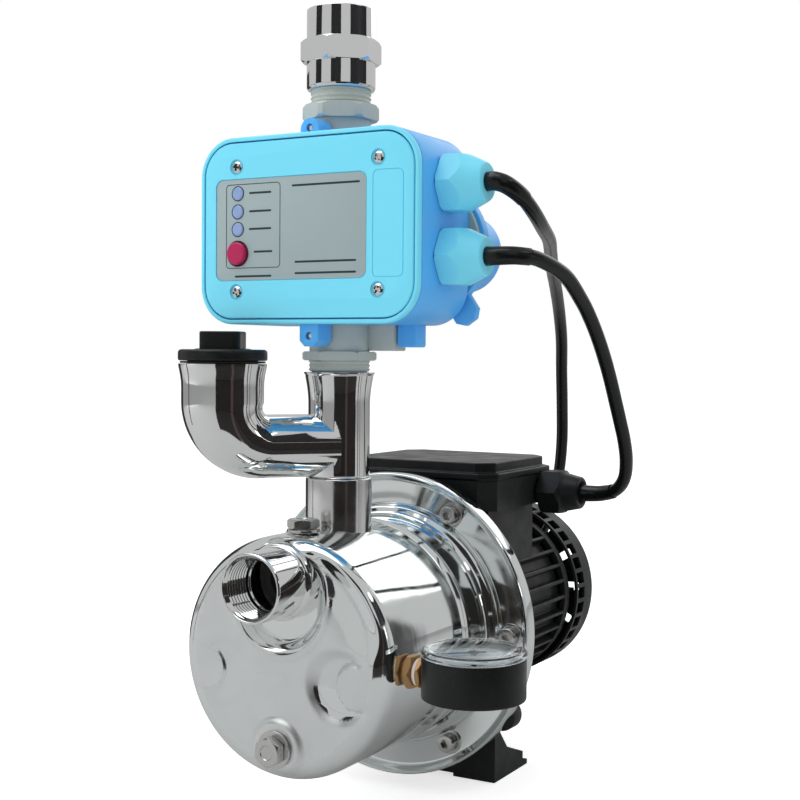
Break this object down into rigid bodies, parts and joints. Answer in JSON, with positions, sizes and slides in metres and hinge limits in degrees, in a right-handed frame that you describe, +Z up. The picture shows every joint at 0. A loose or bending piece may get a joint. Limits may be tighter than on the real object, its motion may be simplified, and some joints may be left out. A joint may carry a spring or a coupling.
{
  "type": "shallow well jet pump",
  "caption": "Self-priming jet pump: pressed round casing, priming elbow, finned motor, pressure controller box on the riser, gauge, mains lead.",
  "frame": {"origin": "on the floor, in the middle of the foot's rear bar, under the shaft", "axes": "+Z up along the riser; +Y along the shaft from the suction port towards the motor's fan; +X towards the pressure gauge and the cable glands"},
  "size_m": [0.3031, 0.3722, 0.4434],
  "materials": {
    "stainless": "pressed stainless steel, polished with a satin front face",
    "chrome": "mirror-polished plated steel",
    "brass": "dull machined brass",
    "steel": "machined and plated steel",
    "winding": "varnished copper winding on steel laminations",
    "motor_black": "semi-matt black paint on cast aluminium",
    "plastic_black": "moulded black plastic",
    "rubber": "black rubber",
    "cable": "smooth glossy black cable sheath",
    "box_light_blue": "satin light blue moulded plastic",
    "box_deep_blue": "satin mid blue moulded plastic",
    "pipe_grey": "grey glass-filled plastic",
    "ejector_plastic": "dark moulded plastic",
    "carbon": "carbon and dark plastic",
    "ceramic": "white ceramic",
    "board_green": "green circuit board",
    "button_red": "crimson plastic",
    "dial_white": "white painted dial",
    "lens": "clear plastic lens"
  },
  "bodies": {
    "pump": {"capacitor": "plastic_black", "casing_o_ring": "rubber", "circuit_board": "board_green", "controller_body": "pipe_grey", "controller_cover": "box_light_blue", "controller_housing": "box_deep_blue", "diaphragm": "rubber", "diaphragm_cap": "box_deep_blue", "diffuser": "ejector_plastic", "discharge_collar": "stainless", "ejector_body": "ejector_plastic", "ejector_nozzle": "brass", "fan_cover": "motor_black", "flange_bolt_1": "steel", "flange_bolt_2": "steel", "flange_bolt_3": "steel", "flange_bolt_4": "steel", "flange_bolt_5": "steel", "flange_bolt_6": "steel", "foot": "motor_black", "front_bearing": "steel", "gauge_case": "plastic_black", "gauge_dial": "dial_white", "gauge_lens": "lens", "gauge_stem": "brass", "mains_coil": "cable", "mains_gland": "box_light_blue", "mains_lead": "cable", "mains_plug": "cable", "motor_bracket": "motor_black", "motor_frame": "motor_black", "motor_gland": "plastic_black", "motor_lead": "cable", "motor_lead_gland": "box_light_blue", "outlet_coupling": "chrome", "pump_casing": "stainless", "rear_bearing": "steel", "rear_shield": "motor_black", "seal_disc": "stainless", "seal_seat": "ceramic", "stator": "winding", "suction_port": "stainless", "swan_neck": "chrome", "terminal_box": "motor_black", "terminal_box_lid": "plastic_black", "venturi_tube": "ejector_plastic"},
    "rotor_group": {"shaft": "steel", "rotor": "steel", "impeller": "stainless", "seal_head": "carbon", "fan": "plastic_black"},
    "restart_button": {"restart_button": "button_red"},
    "gauge_needle": {"gauge_needle": "motor_black"},
    "check_valve": {"check_valve": "carbon"},
    "filler_lift": {"filler_plug_seal": "rubber"},
    "filler_plug": {"filler_plug": "plastic_black"},
    "vent_lift": {"vent_plug_washer": "steel"},
    "vent_plug": {"vent_plug": "steel"},
    "drain_lift": {"drain_plug_washer": "steel"},
    "drain_plug": {"drain_plug": "steel"}
  },
  "joints": [
    {"name": "rotor_spin", "type": "hinge", "parent": "pump", "child": "rotor_group", "pos_m": [0, 0.015, 0.098], "axis": [0, 1, 0], "continuous": true},
    {"name": "restart_press", "type": "slide", "parent": "pump", "child": "restart_button", "axis": [0, 1, 0], "range_m": [0, 0.0022], "stiffness_N_per_m": 300},
    {"name": "gauge_pointer", "type": "hinge", "parent": "pump", "child": "gauge_needle", "pos_m": [0.1015, -0.165, 0.107], "axis": [0, 0, -1], "range_deg": [0, 270], "stiffness_Nm_per_rad": 0.0005},
    {"name": "valve_lift", "type": "slide", "parent": "pump", "child": "check_valve", "axis": [0, 0, 1], "range_m": [0, 0.008], "stiffness_N_per_m": 15},
    {"name": "filler_lift", "type": "slide", "parent": "pump", "child": "filler_lift", "axis": [0, 0, 1], "range_m": [0, 0.0111]},
    {"name": "filler_turn", "type": "hinge", "parent": "filler_lift", "child": "filler_plug", "pos_m": [-0.042, -0.18, 0.253], "axis": [0, 0, 1], "range_deg": [0, 1800]},
    {"name": "vent_lift", "type": "slide", "parent": "pump", "child": "vent_lift", "axis": [0, 0, 1], "range_m": [0, 0.0081]},
    {"name": "vent_turn", "type": "hinge", "parent": "vent_lift", "child": "vent_plug", "pos_m": [0, -0.165, 0.164], "axis": [0, 0, 1], "range_deg": [0, 2160]},
    {"name": "drain_lift", "type": "slide", "parent": "pump", "child": "drain_lift", "axis": [0, -1, 0], "range_m": [0, 0.0081]},
    {"name": "drain_turn", "type": "hinge", "parent": "drain_lift", "child": "drain_plug", "pos_m": [0, -0.192, 0.0521], "axis": [0, -1, 0], "range_deg": [0, 2160]}
  ],
  "couplings": [
    {"joint": "filler_lift", "follows": "filler_turn", "m_per_rad": 0.00035014},
    {"joint": "vent_lift", "follows": "vent_turn", "m_per_rad": 0.00021221},
    {"joint": "drain_lift", "follows": "drain_turn", "m_per_rad": 0.00021221}
  ]
}
